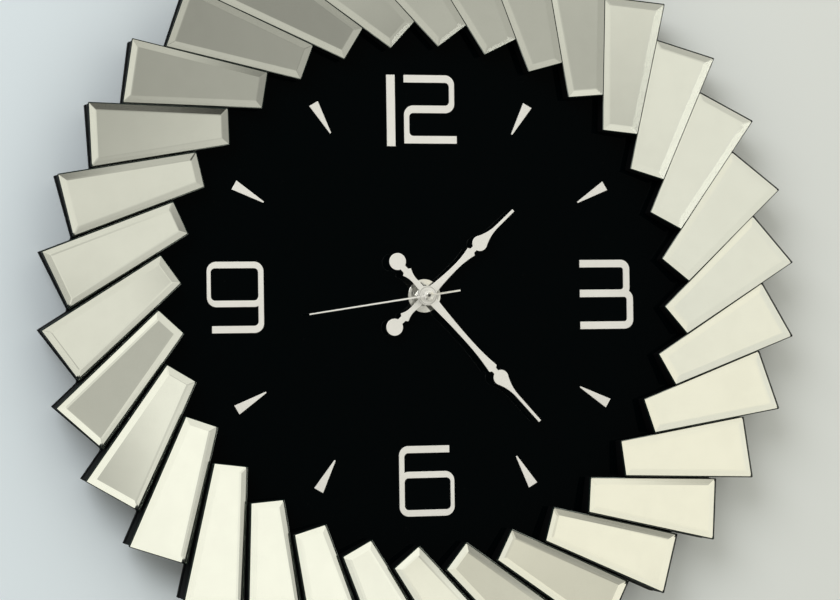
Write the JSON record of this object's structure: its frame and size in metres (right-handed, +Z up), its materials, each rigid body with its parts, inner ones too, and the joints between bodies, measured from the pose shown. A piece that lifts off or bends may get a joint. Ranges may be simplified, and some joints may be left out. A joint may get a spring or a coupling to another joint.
{
  "type": "wall clock",
  "caption": "Round wall clock: black glass dial, silver numerals and hands, a pinwheel ring of tilted bevelled mirrors on a saw-tooth board, battery movement and keyhole hanger behind.",
  "frame": {"origin": "on the dial axis, in the plane of the wall that the bumpers rest on", "axes": "+Z up, +Y into the wall, dial faces -Y, +X to the right of a person who reads the clock"},
  "size_m": [0.5996, 0.0455, 0.5996],
  "materials": {
    "black_board": "fibreboard lacquered satin black",
    "black_glass": "glass painted black behind, high gloss",
    "satin_silver": "satin silver",
    "polished_metal": "polished",
    "black_rubber": "matt",
    "black_plastic": "moulded, fine matt",
    "white_plastic": "moulded, plain",
    "magnet_plastic": "bonded magnet",
    "plain_steel": "plated sheet",
    "copper_wire": "enamelled copper winding",
    "green_laminate": "lacquered laminate",
    "cell_jacket": "plain printed jacket",
    "mirror_glass": "silvered glass with ground and polished bevels"
  },
  "bodies": {
    "clock": {"back_board": "black_board", "riser_blocks": "black_board", "dial_glass": "black_glass", "dial_marks": "satin_silver", "dial_washer": "polished_metal", "bush_nut": "polished_metal", "rubber_gasket": "black_rubber", "movement_case": "black_plastic", "movement_cover": "black_plastic", "stator": "plain_steel", "coil": "copper_wire", "circuit_board": "green_laminate", "battery": "cell_jacket", "battery_contacts": "plain_steel", "wall_hanger": "plain_steel", "hanger_screws": "plain_steel", "wall_bumpers": "black_rubber", "mirror_01": "mirror_glass", "mirror_02": "mirror_glass", "mirror_03": "mirror_glass", "mirror_04": "mirror_glass", "mirror_05": "mirror_glass", "mirror_06": "mirror_glass", "mirror_07": "mirror_glass", "mirror_08": "mirror_glass", "mirror_09": "mirror_glass", "mirror_10": "mirror_glass", "mirror_11": "mirror_glass", "mirror_12": "mirror_glass", "mirror_13": "mirror_glass", "mirror_14": "mirror_glass", "mirror_15": "mirror_glass", "mirror_16": "mirror_glass", "mirror_17": "mirror_glass", "mirror_18": "mirror_glass", "mirror_19": "mirror_glass", "mirror_20": "mirror_glass", "mirror_21": "mirror_glass", "mirror_22": "mirror_glass", "mirror_23": "mirror_glass", "mirror_24": "mirror_glass", "mirror_25": "mirror_glass", "mirror_26": "mirror_glass", "mirror_27": "mirror_glass", "mirror_28": "mirror_glass", "mirror_29": "mirror_glass", "mirror_30": "mirror_glass", "mirror_31": "mirror_glass", "mirror_32": "mirror_glass"},
    "hour": {"hour_wheel": "white_plastic", "hour_hand": "satin_silver"},
    "minute": {"centre_wheel": "white_plastic", "minute_hand": "satin_silver"},
    "second": {"second_wheel": "white_plastic", "second_hand": "satin_silver"},
    "motion": {"motion_wheel": "white_plastic", "setting_knob": "white_plastic"},
    "third": {"third_wheel": "white_plastic"},
    "intermediate": {"intermediate_wheel": "white_plastic"},
    "rotor": {"rotor": "magnet_plastic"}
  },
  "joints": [
    {"name": "minute_turn", "type": "hinge", "parent": "clock", "child": "minute", "pos_m": [0, -0.0369, 0], "axis": [0, 1, 0], "continuous": true},
    {"name": "hour_turn", "type": "hinge", "parent": "clock", "child": "hour", "pos_m": [0, -0.0334, 0], "axis": [0, 1, 0], "continuous": true},
    {"name": "second_turn", "type": "hinge", "parent": "clock", "child": "second", "pos_m": [0, -0.0403, 0], "axis": [0, 1, 0], "continuous": true},
    {"name": "motion_turn", "type": "hinge", "parent": "clock", "child": "motion", "pos_m": [-0.0096, -0.016, 0], "axis": [0, 1, 0], "continuous": true},
    {"name": "third_turn", "type": "hinge", "parent": "clock", "child": "third", "pos_m": [-0.00167, -0.012, 0.00945], "axis": [0, 1, 0], "continuous": true},
    {"name": "intermediate_turn", "type": "hinge", "parent": "clock", "child": "intermediate", "pos_m": [0.0094, -0.01, 0.00342], "axis": [0, 1, 0], "continuous": true},
    {"name": "rotor_turn", "type": "hinge", "parent": "clock", "child": "rotor", "pos_m": [0.0129, -0.01, 0.00948], "axis": [0, 1, 0], "continuous": true}
  ],
  "couplings": [
    {"joint": "hour_turn", "follows": "minute_turn", "ratio": 0.083333},
    {"joint": "second_turn", "follows": "minute_turn", "ratio": 60},
    {"joint": "motion_turn", "follows": "minute_turn", "ratio": -0.33333},
    {"joint": "third_turn", "follows": "minute_turn", "ratio": -8},
    {"joint": "intermediate_turn", "follows": "minute_turn", "ratio": -300},
    {"joint": "rotor_turn", "follows": "minute_turn", "ratio": 1800}
  ]
}
